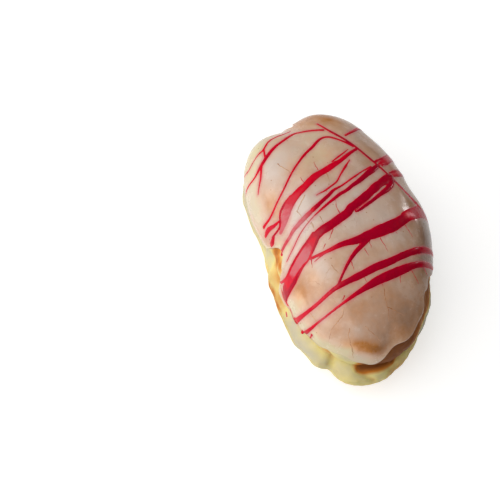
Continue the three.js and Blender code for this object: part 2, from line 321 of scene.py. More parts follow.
# Height of the drizzle: how round a strand is, the width in mm of one of full height and the least share of
# it, a film's share of the height, and how deep in mm an edge lies
STRAND_ROUND = 0.8
FULL_WIDTH = 2.5
LEAST_SHARE = 0.3
FILM_SHARE = 0.45
EDGE_SUNK = 0.03

# Depth of colour at a strand's edge and the field over which it is full,
# and the share of a step by which a point may move to the edge
EDGE_DEPTH = 0.45
EDGE_DEPTH_ENDS = (0, 0.3)
EDGE_MOVE = 0.95

# Fine lines: sides of their section, their fewest rings and the step between rings in mm, their waver
# and their unevenness with its size in mm, the share left at the tip, and the depth of colour
LINE_SIDES = 6
LINE_LEAST_RINGS = 6
LINE_STEP = 0.4
LINE_WAVER = 0.15
LINE_WAVER_SIZE = 1.6
LINE_UNEVEN = 0.3
LINE_UNEVEN_SIZE = 1.1
LINE_TIP = 0.02
LINE_DEPTH = 0.4

# Feather lines, where the red crept into fine cracks: points as for the strands
FEATHERS = (
    ((-14, -7), (-16, -7.5), (-18, -7.5)), ((-11, -12), (-13, -12.5)), ((-1, -5), (-2.5, -5), (-4, -4.5)),
    ((3, -9.5), (4.5, -10.5), (6, -12)), ((7, 4), (9.5, 5), (11.5, 5.5)),
    ((4.5, 14.5), (6, 15.5), (8.5, 17)), ((5, 9), (7, 10.5)), ((7.5, 0.5), (9.5, 0.5)),
    ((9, -1.5), (11.5, -1)), ((12, -6.5), (14.5, -6.5)), ((17, -4.5), (19.5, -4)),
    ((20.5, 0.5), (22.5, 0.8)), ((19, 8), (22.5, 7.5)), ((19, 13), (22, 14.5), (25, 16)),
    ((20, 21), (23, 23), (25, 26)), ((7, -13.5), (8.5, -15)), ((11, -20.5), (14, -21)),
    ((22.5, -12), (24, -13.5)), ((-13.5, -5), (-12, -5)),
)

# Bare cracks of the icing, where the crust shows: points as for the strands
CRACKS = (
    ((21.6, 0.7), (24.2, 0.9), (27.3, 0.4), (29.9, 0.6), (31.7, 0.9), (34.1, 0.4), (36.7, 0.3)),
    ((30.3, 0.7), (32.4, 3.4), (35.5, 7.4)),
    ((26.6, -13.7), (29.7, -15), (32.4, -17.8), (35, -20.2), (37.6, -21.8), (41.5, -23.4)),
    ((-0.6, -16.5), (2, -16.4)), ((-1.7, -12.2), (0.9, -12.3)), ((12.9, -13.1), (14.1, -12.4), (15.5, -11)),
    ((35.2, -14.1), (38.4, -15.6), (45.7, -15.6), (53.1, -16.2)),
    ((35.4, -8.7), (39.5, -6.5), (44.7, -4.2)), ((29.4, -27.8), (33.6, -25.8), (36.7, -25.2)),
    ((-21, -19), (-15.5, -15), (-14.1, -13.3)),
    ((-8, -13.1), (-5.3, -19.3), (-2.7, -18.7), (-1.2, -17.2), (3, -16.3)),
    ((-13.4, -5), (-11, -4.7), (-9.1, -4.6)),
)

# Patches of the icing: place along and across from the crown and radius in mm,
# then how much whiter the icing is there and how much browner the crust under it
Patch = namedtuple("Patch", "along across radius veil bake")
# The patches on the right side, across 14 mm and more, and the wide one at 38 along are darker partly as
# painted shade of that side
ICING_PATCHES = rows_of(Patch, (
    (-37, -28, 9, -0.3, -0.6), (-31, -36, 8, -0.1, -0.55), (-22, -38, 7, 0.05, -0.45),
    (-13, -39, 6, -0.1, -0.4), (-24, -17, 6, 0.35, -0.1), (-19, -22, 5, 0.35, -0.1),
    (-15, -25, 4, 0.1, -0.1), (-10.8, -25.5, 5, -0.55, -0.02), (-34, -6, 6, 0.0, -0.1),
    (-19, -8, 7, -0.25, -0.2), (-8, -7.5, 3.5, 0.25, -0.05), (-24, -2, 5, -0.1, -0.05),
    (-6.5, -14, 5, 0.3, -0.1), (-5, -20, 5, 0.35, -0.1), (0, -21, 4, 0.25, -0.1), (4, -27, 5, 0.3, -0.15),
    (9, -33, 5, 0.3, -0.15), (-2, -10, 5, 0.2, 0.0), (3, -4, 5, 0.12, 0.0), (12.5, -18.5, 3.5, 0.25, -0.1),
    (22, -21, 4, 0.2, 0.0), (18, -21, 4, -0.3, -0.15), (12, -11, 4, -0.12, -0.05), (26, -31, 4, -0.1, -0.3),
    (30, -38, 5, -0.15, -0.5), (40, -34, 6, -0.15, -0.5), (48, -29, 6, -0.25, -0.55),
    (53, -22, 5, -0.1, -0.45), (35, -19, 5, -0.15, -0.05), (44.5, -16, 4, -0.35, -0.08),
    (45, -11.5, 3.8, -0.6, 0.05), (48.5, -8, 3.2, -0.5, 0.08), (54, -12.5, 4.5, 0.4, -0.1),
    (50, -3, 4, -0.25, 0.1), (55, -2, 3.5, -0.35, 0.15), (38, -12, 4, 0.15, 0.0), (38, 5, 15, -0.25, 0.2),
    (26, 30, 14, -0.25, 0.2), (-2, 32, 12, -0.15, 0.1), (-28, 24, 14, -0.2, 0.05), (-43, 4, 9, -0.3, 0.0),
    (-53, 3, 12, -0.3, 0.12), (8, 9, 5, 0.12, 0.0), (12, 36, 12, -0.25, 0.4), (42, 14, 10, -0.2, 0.22),
    (27, -12, 5, -0.15, 0.0), (-50, -6, 7, -0.25, 0.0), (-45, 8, 6, -0.2, 0.12), (10, 27, 6, -0.25, 0.2),
    (-33, -3, 16, 0.0, -0.2), (22, -31, 6, -0.35, 0.1), (20, -23, 5, -0.2, 0.05), (24, -17, 5, -0.2, 0.05),
    (-7, 5, 5, 0.25, -0.05), (-2.5, -0.5, 5, 0.2, -0.05), (1.5, 6, 5, 0.2, 0.0), (51, -4, 4.5, -0.15, 0.1),
    (46, 1, 5, -0.1, 0.1), (40, 10, 7, 0.15, 0.05), (2, 20, 6, -0.2, 0.2), (19, 21, 6, -0.2, 0.15),
))

# Fineness of the grids
BUN_AROUND = 440
BUN_HIDDEN_ROWS = 30
BUN_SHOWN_ROWS = 130
BUN_SHOWN_FROM = 33.0
BUN_UNDER_ROWS = 24
ICING_AROUND = 460
ICING_ROWS = 120
ICING_NOSE_ROWS = 10
ICING_UNDER_ROWS = 20
DRIZZLE_STEP = 0.2
STRAND_STEP = 0.25


def linear(code):
    """Linear red, green and blue of an sRGB hex colour."""
    srgb = np.array([int(code[i : i + 2], 16) for i in (1, 3, 5)]) / 255
    return tuple(np.where(srgb <= 0.04045, srgb / 12.92, ((srgb + 0.055) / 1.055) ** 2.4).tolist())


def size(name, description, millimetres):
    """A length that a user may change, given in millimetres and kept in metres."""
    return bpy.props.FloatProperty(
        name=name, description=description, default=millimetres * MM, unit="LENGTH", precision=5
    )


def colour(name, description, code):
    """A colour that a user may change, given as sRGB hex."""
    return bpy.props.FloatVectorProperty(
        name=name, description=description, default=linear(code), subtype="COLOR", min=0, max=1
    )


def share(name, description, default):
    """A share from 0 to 1 that a user may change."""
    return bpy.props.FloatProperty(
        name=name, description=description, default=default, subtype="FACTOR", min=0, max=1
    )


def angle(name, description, degrees):
    """An angle that a user may change, given in degrees."""
    return bpy.props.FloatProperty(
        name=name, description=description, default=np.radians(degrees), subtype="ANGLE"
    )


def power(name, description, watts):
    """A lamp's power that a user may change."""
    return bpy.props.FloatProperty(name=name, description=description, default=watts, unit="POWER", min=0)


class BunSettings(bpy.types.PropertyGroup):
    """Sizes and colours of the fried bun"""

    crease_fillet: size("Crease fillet", "Fillet in the crease between cap and band", 2.0)
    lumps: size("Lumps", "Height of the low lumps over the bun", 0.35)
    lump_size: size("Lump size", "Distance from one low lump to the next", 11)
    pucker: size("Pucker", "Height of the fine puckers in the crust", 0.1)
    pucker_size: size("Pucker size", "Distance from one fine pucker to the next", 3.2)
    crumb_size: size("Crumb size", "Size of the pores in the pale band", 0.7)
    pale: colour("Pale dough", "Dough that the frying fat didn't reach", "#BEB499")
    straw: colour("Straw", "Dough lightly coloured", "#DACA86")
    amber: colour("Amber", "Dough fried golden", "#C67A30")
    brown: colour("Brown crust", "Crust fried brown", "#804A22")
    roughness: share("Roughness", "Roughness of the crust", 0.5)


class IcingSettings(bpy.types.PropertyGroup):
    """Sizes and colours of the sugar icing"""

    gap: size("Gap", "Distance of the icing's solid from the bun", 0.3)
    thickness: size("Thickness", "Thickness of the icing", 0.9)
    sunk: size("Sunk", "Depth to which the icing's underside lies in the bun", 0.3)
    uneven: size("Unevenness", "How much the poured icing swells and thins", 0.16)
    uneven_size: size("Unevenness size", "Distance from one swelling to the next", 13)
    bead: size("Bead", "Extra thickness of the bead along the rim", 0.15)
    bead_width: size("Bead width", "Width of the bead along the rim", 1.6)
    taper: size("Taper", "Width over which the icing thins on the pale side", 8)
    scallop: size("Scallop", "Height of the small scallops of the rim", 0.7)
    scallop_size: size("Scallop size", "Distance from one scallop to the next", 9)
    white: colour("White", "Dried sugar icing where it is thick", "#CBB9AC")
    cream: colour("Cream", "Pale dough seen through the icing", "#CCBE92")
    tan: colour("Tan", "Lightly browned crust seen through the icing", "#D2A27A")
    toasted: colour("Toasted", "Golden crust seen through the icing", "#B47741")
    crust: colour("Crust", "Brown crust seen through the icing", "#805636")
    stain: colour("Stain", "Icing stained by the drizzle beside it", "#C8656E")
    crack: colour("Crack", "Crust in a fine crack or pore of the icing", "#A0653F")
    veil: share("Veil", "How much of the crust the icing hides", 0.55)
    bake: share("Bake", "How brown the crust is under the icing", 0.55)
    roughness: share("Roughness", "Roughness of the dried icing", 0.24)


class DrizzleSettings(bpy.types.PropertyGroup):
    """Sizes and colours of the red drizzle"""

    height: size("Height", "Height of the thickest strands over the icing", 0.27)
    sunk: size("Sunk", "Depth to which a strand lies in the icing", 0.2)
    film: colour("Film", "Red icing spread to a film", "#C26469")
    thin: colour("Thin", "Thin red icing", "#C21A30")
    red: colour("Red", "Red icing of middling thickness", "#CC0424")
    deep: colour("Deep red", "Red icing where it is thick", "#A20223")
    roughness: share("Roughness", "Roughness of the set icing", 0.2)


class LineSettings(bpy.types.PropertyGroup):
    """Sizes of the icing's fine lines"""

    feather_width: size("Feather width", "Width of a red feather line", 0.38)
    feather_height: size("Feather height", "Height of a red feather line", 0.07)
    crack_width: size("Crack width", "Width of a bare crack", 0.3)
    crack_height: size("Crack height", "Height of a bare crack's line", 0.03)


class StageSettings(bpy.types.PropertyGroup):
    """Camera, lamps and floor"""

    azimuth: angle("Azimuth", "Turn of the camera round the doughnut", 48)
    elevation: angle("Elevation", "Height of the camera as an angle", 60)
    roll: angle("Roll", "Turn of the camera about its own axis", 29)
    distance: size("Distance", "Distance of the camera from the doughnut", 491.9)
    aim_height: size("Aim height", "Height of the point that the camera is set out from", 20)
    right: size("Right", "How far right of the picture's middle the doughnut lies", 37.67)
    up: size("Up", "How far above the picture's middle the doughnut lies", 4.375)
    key: power("Key", "Power of the large soft lamp", 33)
    window: power("Window", "Power of the small lamp that glints on the icing", 0.3)
    ambient: share("Ambient", "Strength of the light from all round", 0.02)
    floor: colour("Floor", "Colour of the floor", "#C6C5C3")
    glow: share("Glow", "How much the white table is lit from below", 0.62)


def bell(distance, width):
    """Bell curve: e to the minus square of distance over width."""
    return np.exp(-((distance / width) ** 2))


def turn_bell(place, direction):
    """Bell round the bun: 1 in the place's direction, over its half width in degrees."""
    return bell(turn_between(place.at, direction), place.width)


def side_bell(place, direction, z):
    """Bell on the bun's side, over a place's direction and height."""
    return turn_bell(place, direction) * bell(z - place.height, place.spread)


def smooth(value, low, high):
    """Share from 0 at low to 1 at high, level at both ends: three squares less two cubes."""
    t = np.clip((value - low) / (high - low), 0, 1)
    return t * t * (3 - 2 * t)


def ripple(points, length, seed):
    """Smooth unevenness of about plus and minus 1: a sum of cosine waves in seeded directions,
    each about length mm long, at the points' places in mm."""
    waves, shortest, longest, usual_peak = 28, 0.7, 1.4, 1.6
    random = np.random.default_rng(seed)
    directions = random.normal(size=(waves, 3))
    directions /= np.linalg.norm(directions, axis=1, keepdims=True)
    spin = 2 * np.pi / (length * random.uniform(shortest, longest, (waves, 1)))
    phases = random.uniform(0, 2 * np.pi, waves)
    return np.cos(points @ (directions * spin).T + phases).sum(-1) * np.sqrt(2 / waves) / usual_peak


def turn_between(start, end):
    """Smallest turn in degrees from one direction to another."""
    return (end - start + 180) % 360 - 180


def oval_radius(layer, direction):
    """Radius of a squared oval: the minus power mean of its half length and half width."""
    along = np.abs(np.cos(np.radians(direction)) / layer.half_length) ** layer.squareness
    across = np.abs(np.sin(np.radians(direction)) / layer.half_width) ** layer.squareness
    return (along + across) ** (-1 / layer.squareness)


def wave_reach(waves, direction):
    """Sum of cosine waves round the bun."""
    return sum(w.size * np.cos(np.radians(w.times * (direction - w.towards))) for w in waves)


def layer_share(layer, z):
    """Share of a layer's full width left at a height: a squared quarter oval above and below."""
    above = z > layer.widest_at
    depth = np.abs(z - layer.widest_at) / np.where(above, layer.rise, layer.fall)
    shape = np.where(above, layer.round_over, layer.round_under)
    return np.maximum(0, 1 - depth**shape) ** (1 / shape)


def cap_radius(direction, z):
    """Radius of the upper layer: oval and waves times its share, and the bulges times its share squared."""
    left = layer_share(CAP, z)
    radius = (oval_radius(CAP, direction) + wave_reach(PROOF_WAVES, direction)) * left
    for bulge in CAP_BULGES:
        radius = radius + bulge.reach * left**2 * turn_bell(bulge, direction)
    return radius


def band_radius(direction, z):
    """Radius of the lower layer: oval and waves times its share, and the lumps as bells."""
    plan = oval_radius(BAND, direction) + wave_reach((*PROOF_WAVES, BAND_SHIFT), direction)
    radius = plan * layer_share(BAND, z)
    for lump in BAND_LUMPS:
        radius = radius + lump.reach * side_bell(lump, direction, z)
    return radius


def bun_radius(direction, z, fillet):
    """The larger of the two layers, with a round fillet where they are nearly equal."""
    upper = cap_radius(direction, z)
    lower = band_radius(direction, z)
    near = np.maximum(0, 1 - np.abs(upper - lower) / fillet)
    both = np.maximum(upper, lower) + near**2 * fillet / 4
    return np.where(z >= BAND_TOP, upper, both)


def crease_depth(direction, z):
    """Depth of the fine creases: a bell of the distance to each crease's line, on the unrolled side."""
    depth = np.zeros(np.broadcast(direction, z).shape)
    for crease in CREASES:
        points = np.array(crease.points, float)
        arc = np.radians(oval_radius(BAND, points[0, 0]))
        place = np.stack(np.broadcast_arrays(turn_between(points[0, 0], direction) * arc, z), -1)
        line = np.stack([turn_between(points[0, 0], points[:, 0]) * arc, points[:, 1]], -1)
        near = np.full(place.shape[:-1], np.inf)
        for start, end in zip(line[:-1], line[1:]):
            step = end - start
            t = np.clip((place - start) @ step / (step @ step), 0, 1)
            near = np.minimum(near, np.linalg.norm(place - start - t[..., None] * step, axis=-1))
        depth = np.maximum(depth, crease.depth * bell(near, crease.width))
    return depth


def oval_direction(turn):
    """Direction in degrees for an even turn round the oval."""
    across = CAP.half_width * np.sin(np.radians(turn))
    return np.degrees(np.arctan2(across, CAP.half_length * np.cos(np.radians(turn))))


def bun_point(direction, z, fillet, part=1.0):
    """Point of the bun at a direction and height: the radius about the crown, or a part of it."""
    radius = bun_radius(direction, z, fillet) * part
    x = CROWN[0] + radius * np.cos(np.radians(direction))
    y = CROWN[1] + radius * np.sin(np.radians(direction))
    return np.stack(np.broadcast_arrays(x, y, z), -1)


def slope_height(slope):
    """Height on the cap for a slope that is 0 at the crown and 90 at the widest line."""
    fallen = np.cos(np.radians(slope))
    above = CAP.widest_at + CAP.rise * np.abs(fallen) ** (2 / CAP.round_over)
    below = CAP.widest_at - CAP.fall * np.abs(fallen) ** (2 / CAP.round_under)
    return np.where(fallen >= 0, above, below)


def height_slope(z):
    """Slope on the cap at a height, the inverse of slope_height."""
    above = z >= CAP.widest_at
    depth = np.abs(z - CAP.widest_at) / np.where(above, CAP.rise, CAP.fall)
    slope = np.degrees(np.arccos(depth ** (np.where(above, CAP.round_over, CAP.round_under) / 2)))
    return np.where(above, slope, 180 - slope)


def cap_frame(turn, slope, fillet):
    """Point and outward normal on the cap: the normal is the cross product of small steps
    down the slope and round the oval."""
    reach = 0.05
    down = np.maximum(slope, 2 * reach)

    def at(t, s):
        return bun_point(oval_direction(t), slope_height(s), fillet)

    ahead = at(turn, down + reach) - at(turn, down - reach)
    sideways = at(turn + reach, down) - at(turn - reach, down)
    normal = np.cross(ahead, sideways)
    normal /= np.linalg.norm(normal, axis=-1, keepdims=True)
    return at(turn, down), normal


def rim_height(turn):
    """Height of the icing's rim: its mean, the waves and the runs."""
    z = RIM_HEIGHT + wave_reach(RIM_WAVES, turn)
    for run in RIM_RUNS:
        z = z + run.reach * turn_bell(run, turn)
    return z


def skin_place(along, across):
    """Turn and slope of a point given by its distances from the crown over the icing."""
    u = along / SKIN_ALONG
    w = across / SKIN_ACROSS
    return np.degrees(np.arctan2(w, u)), 90 * np.hypot(u, w)


def icing_top(turn, slope, icing):
    """Point and normal on the icing's outside: the cap, the gap, the thickness and a low unevenness."""
    point, normal = cap_frame(turn, slope, SOLID_FILLET)
    lift = (icing.gap + icing.thickness) / MM
    lift = lift + icing.uneven / MM * ripple(point, icing.uneven_size / MM, seed=11)
    return point + normal * lift[..., None], normal


def bun_swell(points, direction, z, bun):
    """Height of the low lumps and fine puckers of the crust, with the swellings, less the creases."""
    swell = bun.lumps / MM * ripple(points, bun.lump_size / MM, seed=3)
    swell = swell + bun.pucker / MM * ripple(points, bun.pucker_size / MM, seed=4)
    for lump in CRUST_LUMPS:
        swell = swell + lump.reach * side_bell(lump, direction, z)
    return (swell - crease_depth(direction, z)) * smooth(z, 0, FOOT_FLAT)


def rim_slope(turn, icing):
    """Slope at which the icing's full thickness ends, and the slope that its rounded nose covers."""
    rim, _ = cap_frame(turn, height_slope(rim_height(turn)), SOLID_FILLET)
    scallop = icing.scallop / MM * ripple(rim, icing.scallop_size / MM, seed=12)
    nose = 90 * (icing.gap + icing.thickness + icing.sunk) / MM / 2 / SKIN_ACROSS
    return height_slope(rim_height(turn) + scallop) - nose, nose


def rim_swell(turn, from_rim, icing):
    """Extra thickness of the icing near its rim: a bead, but a loss on the side where it runs out thin."""
    thin = turn_bell(THIN_RIM, turn)
    bead = icing.bead / MM * bell(from_rim, icing.bead_width / MM)
    return bead * (1 - thin) - THIN_RIM.reach * thin * (1 - smooth(from_rim, 0, icing.taper / MM))


def drizzle_bed(along, across, bun, icing):
    """Point and normal of what the drizzle lies on at distances from the crown: the icing's outside,
    then down over its rim, and the bun beyond it."""
    turn, slope = skin_place(along, across)
    top, normal = icing_top(turn, slope, icing)
    end, nose = rim_slope(turn, icing)
    top = top + normal * rim_swell(turn, np.maximum(end - slope, 0) * SKIN_ACROSS / 90, icing)[..., None]
    bare, bare_normal = cap_frame(turn, slope, bun.crease_fillet / MM)
    bare = bare + bare_normal * bun_swell(bare, oval_direction(turn), bare[..., 2], bun)[..., None]
    over = smooth((slope - end) / nose, *RIM_DRAPE)[..., None]
    return top * (1 - over) + bare * over, normal * (1 - over) + bare_normal * over


def grid_normals(points):
    """Unit normals of a closed ring grid: the cross product of the steps down and round."""
    down = np.gradient(points, axis=0)
    round_ = (np.roll(points, -1, axis=1) - np.roll(points, 1, axis=1)) / 2
    normal = np.cross(down, round_)
    return normal / np.maximum(np.linalg.norm(normal, axis=-1, keepdims=True), 1e-9)


def ring_faces(rows, around):
    """Quads between rows that close round, and a fan of triangles to a pole vertex at each end."""
    row, column = np.meshgrid(np.arange(rows - 1), np.arange(around), indexing="ij")
    here = row * around + column
    there = row * around + (column + 1) % around
    quads = np.stack([here, here + around, there + around, there], -1).reshape(-1, 4)
    first = np.arange(around)
    second = (first + 1) % around
    last = (rows - 1) * around
    top = np.stack([np.full(around, rows * around), first, second], -1)
    bottom = np.stack([np.full(around, rows * around + 1), last + second, last + first], -1)
    return quads.tolist() + top.tolist() + bottom.tolist()


def make_piece(name, vertices, faces, attributes, material, node, slot):
    """A smooth mesh piece from vertices in mm, which rides on the doughnut and stands for a solid."""
    mesh = bpy.data.meshes.new(name)
    mesh.from_pydata((vertices * MM).tolist(), [], faces)
    if mesh.validate():
        raise RuntimeError(f"{name}: the mesh had faulty faces")
    mesh.shade_smooth()
    for label, values in attributes.items():
        layer = mesh.attributes.new(label, "FLOAT", "POINT")
        layer.data.foreach_set("value", values.astype(np.float32).ravel())
    mesh.materials.append(material)
    piece = bpy.data.objects.new(name, mesh)
    bpy.context.scene.collection.objects.link(piece)
    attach(piece, "root")
    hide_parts(node)
    return piece


def add_node(tree, kind, inputs, output=0, **settings):
    """An output of a new node of a kind: each of its inputs is a value, or another node's output to link."""
    node = tree.nodes.new("ShaderNode" + kind)
    for name, value in settings.items():
        setattr(node, name, value)
    for socket, value in inputs.items():
        if isinstance(value, bpy.types.NodeSocket):
            tree.links.new(value, node.inputs[socket])
        else:
            node.inputs[socket].default_value = value
    return node.outputs[output]


def start_material(name):
    """An empty material, what adds nodes to it, and the Object coordinates that its patterns read."""
    material = bpy.data.materials.new(name)
    material.use_nodes = True
    material.node_tree.nodes.clear()
    add = partial(add_node, material.node_tree)
    return material, add, add("TexCoord", {}, "Object")


def finish_material(material, inputs):
    """Gives a material its shader, with these inputs."""
    tree = material.node_tree
    shader = add_node(tree, "BsdfPrincipled", inputs)
    tree.links.new(shader, tree.nodes.new("ShaderNodeOutputMaterial").inputs["Surface"])
    return material


def set_ramp(ramp, stops):
    """Sets the stops of a colour ramp, given by its output: each is a position and a linear colour."""
    elements = ramp.node.color_ramp.elements
    while len(elements) < len(stops):
        elements.new(1)
    for element, (position, rgb) in zip(elements, stops):
        element.position = position
        element.color = (*rgb, 1)


def per_metre(millimetres):
    """Scale of a pattern in metres whose detail is this many millimetres across."""
    return 1 / (millimetres * MM)


def fried_dough(bun):
    """Fried yeast dough: a soft matt crust, pale cream where the fat didn't reach, golden to brown
    where it did, with fine pores and a faint greasy sheen, and painted shade multiplied in on some places of
    the side."""
    material, add, place = start_material("fried_dough")
    # The bake attribute also holds painted shade: the tint of the creases and of some toasted places
    bake, painted_shade = (add("Attribute", {}, "Fac", attribute_name=name) for name in ("bake", "painted_shade"))
    mottle = add("TexNoise", {"Vector": place, "Scale": per_metre(4), "Detail": 4, "Roughness": 0.6})
    change = {"From Min": 0.25, "From Max": 0.75, "To Min": -0.03, "To Max": 0.03}
    shift = add("MapRange", {"Value": mottle, **change})
    ramp = add("ValToRGB", {"Fac": add("Math", {0: bake, 1: shift}, operation="ADD")})
    set_ramp(ramp, [(0.08, bun.pale), (0.3, bun.straw), (0.62, bun.amber), (0.95, bun.brown)])
    # Painted shade: the colour is darkened by a shade tone over the places listed as painted shade
    painted_shade_colour = add("Mix", {0: painted_shade, 6: ramp, 7: (*PAINTED_SHADE_TONE, 1)}, 2, data_type="RGBA", blend_type="MULTIPLY")
    pores = add("TexNoise", {"Vector": place, "Scale": 1 / bun.crumb_size, "Detail": 5, "Roughness": 0.65})
    gloss = add("MapRange", {"Value": mottle, "To Min": bun.roughness - 0.12, "To Max": bun.roughness + 0.15})
    return finish_material(material, {
        "Base Color": painted_shade_colour,
        "Roughness": gloss,
        "Normal": add("Bump", {"Height": pores, "Strength": 0.5, "Distance": 0.25 * MM}),
        "Subsurface Weight": 0.2,
        "Subsurface Radius": (1.0, 0.6, 0.25),
        "Subsurface Scale": 2 * MM,
        "IOR": 1.45,
        "Specular IOR Level": 0.05,
    })


def sugar_icing(icing):
    """Dried sugar icing over a browned crust: a half-clear glossy skin, whiter where it is thick,
    with tan crust showing through, fine brown cracks and pores, and pink stains by the drizzle."""
    material, add, place = start_material("sugar_icing")
    # The veil and bake attributes also carry painted shade on the bun's right side, from the icing patches
    veil, bake, stain = (
        add("Attribute", {}, "Fac", attribute_name=name) for name in ("veil", "bake", "stain")
    )
    cloud = add("TexNoise", {"Vector": place, "Scale": per_metre(9), "Detail": 5, "Roughness": 0.62})
    mottle = add("TexNoise", {"Vector": place, "Scale": per_metre(3), "Detail": 4, "Roughness": 0.55})
    middle = {"From Min": 0.3, "From Max": 0.7}
    bake_shift = add("MapRange", {"Value": mottle, **middle, "To Min": -0.07, "To Max": 0.07})
    crust = add("ValToRGB", {"Fac": add("Math", {0: bake, 1: bake_shift}, operation="ADD")})
    set_ramp(crust, [(0.08, icing.cream), (0.35, icing.tan), (0.6, icing.toasted), (0.95, icing.crust)])
    veil_shift = add("MapRange", {"Value": cloud, **middle, "To Min": -0.17, "To Max": 0.17})
    hidden = add("Math", {0: veil, 1: veil_shift}, operation="ADD", use_clamp=True)
    iced = add("Mix", {0: hidden, 6: crust, 7: (*icing.white, 1)}, 2, data_type="RGBA")

    # Pores: a brown dot in some of the cells, about half a millimetre across
    step = {"interpolation_type": "SMOOTHSTEP"}
    cells = add("TexVoronoi", {"Vector": place, "Scale": per_metre(4.8)})
    pore_edge = {"From Min": 0.03, "From Max": 0.08, "To Min": 1, "To Max": 0}
    pore = add("MapRange", {"Value": cells, **pore_edge}, **step)

    # Cracks: the wavering borders of large cells, shown only in places
    waver = add("TexNoise", {"Vector": place, "Scale": per_metre(5), "Detail": 3}, "Color")
    bent = add("VectorMath", {0: waver, 1: [5 * MM] * 3, 2: place}, operation="MULTIPLY_ADD")
    borders = add("TexVoronoi", {"Vector": bent, "Scale": per_metre(13)}, feature="DISTANCE_TO_EDGE")
    crack_edge = {"From Min": 0.002, "From Max": 0.008, "To Min": 0.5, "To Max": 0}
    crack = add("MapRange", {"Value": borders, **crack_edge}, **step)
    places = add("MapRange", {"Value": cloud, "From Min": 0.5, "From Max": 0.62}, **step)
    shown_crack = add("Math", {0: crack, 1: places}, operation="MULTIPLY")
    marks = add("Math", {0: shown_crack, 1: pore}, operation="MAXIMUM")
    mark_share = add("Math", {0: marks, 1: 0.75}, operation="MULTIPLY")
    marked = add("Mix", {0: mark_share, 6: iced, 7: (*icing.crack, 1)}, 2, data_type="RGBA")

    stain_share = add("Math", {0: stain, 1: mottle}, operation="MULTIPLY")
    stained = add("Mix", {0: stain_share, 6: marked, 7: (*icing.stain, 1)}, 2, data_type="RGBA")
    rough = {"To Min": icing.roughness - 0.1, "To Max": icing.roughness + 0.1}
    hollows = add("Math", {0: marks, 1: -0.6, 2: mottle}, operation="MULTIPLY_ADD")
    return finish_material(material, {
        "Base Color": stained,
        "Roughness": add("MapRange", {"Value": cloud, **middle, **rough}),
        "Normal": add("Bump", {"Height": hollows, "Strength": 0.25, "Distance": 0.2 * MM}),
        "Subsurface Weight": 0.15,
        "Subsurface Radius": (1.0, 0.7, 0.5),
        "Subsurface Scale": 1.5 * MM,
        "Coat Weight": 0.12,
        "Coat Roughness": 0.08,
        "IOR": 1.4,
        "Specular IOR Level": 0.4,
    })


def red_icing(drizzle):
    """Poured red icing: a smooth glossy set syrup, deep red where it is thick and pink as a film."""
    material, add, place = start_material("red_icing")
    depth = add("Attribute", {}, "Fac", attribute_name="depth")
    streak = add("TexNoise", {"Vector": place, "Scale": per_metre(2), "Detail": 3})
    change = {"From Min": 0.3, "From Max": 0.7, "To Min": -0.1, "To Max": 0.1}
    shift = add("MapRange", {"Value": streak, **change})
    ramp = add("ValToRGB", {"Fac": add("Math", {0: depth, 1: shift}, operation="ADD")})
    set_ramp(ramp, [(0.05, drizzle.film), (0.35, drizzle.thin), (0.65, drizzle.red), (1.0, drizzle.deep)])
    rough = {"To Min": drizzle.roughness - 0.06, "To Max": drizzle.roughness + 0.1}
    return finish_material(material, {
        "Base Color": ramp,
        "Roughness": add("MapRange", {"Value": streak, **rough}),
        "Normal": add("Bump", {"Height": streak, "Strength": 0.2, "Distance": 0.15 * MM}),
        "Subsurface Weight": 0.1,
        "Subsurface Radius": (1.0, 0.2, 0.2),
        "Subsurface Scale": 1 * MM,
        "IOR": 1.4,
        "Specular IOR Level": 0.2,
    })


def bare_crust(icing):
    """Crust at the bottom of a fine crack: brown, lighter where the icing has closed over it."""
    material, add, place = start_material("bare_crust")
    closed = add("TexNoise", {"Vector": place, "Scale": per_metre(2.5), "Detail": 3})
    ramp = add("ValToRGB", {"Fac": closed})
    set_ramp(ramp, [(0.35, icing.crack), (0.65, icing.tan)])
    return finish_material(material, {"Base Color": ramp, "Roughness": 0.6, "Specular IOR Level": 0.1})


def strongest(places, direction, z):
    """At each point of the bun's side, the highest of the places' bells over direction and height."""
    most = np.zeros(np.broadcast(direction, z).shape)
    for place in places:
        most = np.maximum(most, place.bake * side_bell(place, direction, z))
    return most


def bun_browning_and_shade(direction, z):
    """How brown the bun is, from 0 to 1: brown over the cap down to the crust's edge, but pale on the side
    that the fat didn't reach, golden at the foot, bells for the toasted places, and painted shade as a tint in
    the creases."""
    pale_side = 1 - smooth(np.abs(turn_between(PALE_SIDE, direction)), *PALE_ENDS)
    raised = smooth(direction, *CRUST_RISES) * (1 - smooth(direction, *CRUST_FALLS))
    edge = CRUST_EDGE + CRUST_RISE * raised
    crust = (CRUST_BROWN - CRUST_RISE_LOSS * raised) * (1 - pale_side)
    brown = crust * smooth(z, edge - CRUST_FADE, edge + CRUST_FADE)
    brown = np.maximum(brown, FOOT_BROWN * (1 - FOOT_LOSS * pale_side) * (1 - smooth(z, *FOOT_ENDS)))
    brown = np.maximum(brown, strongest(TOASTS, direction, z))
    tint = LOW_TINT * (1 - smooth(z, *LOW_ENDS))
    return PALEST + brown + tint + CREASE_SHADE_TINT * crease_depth(direction, z)


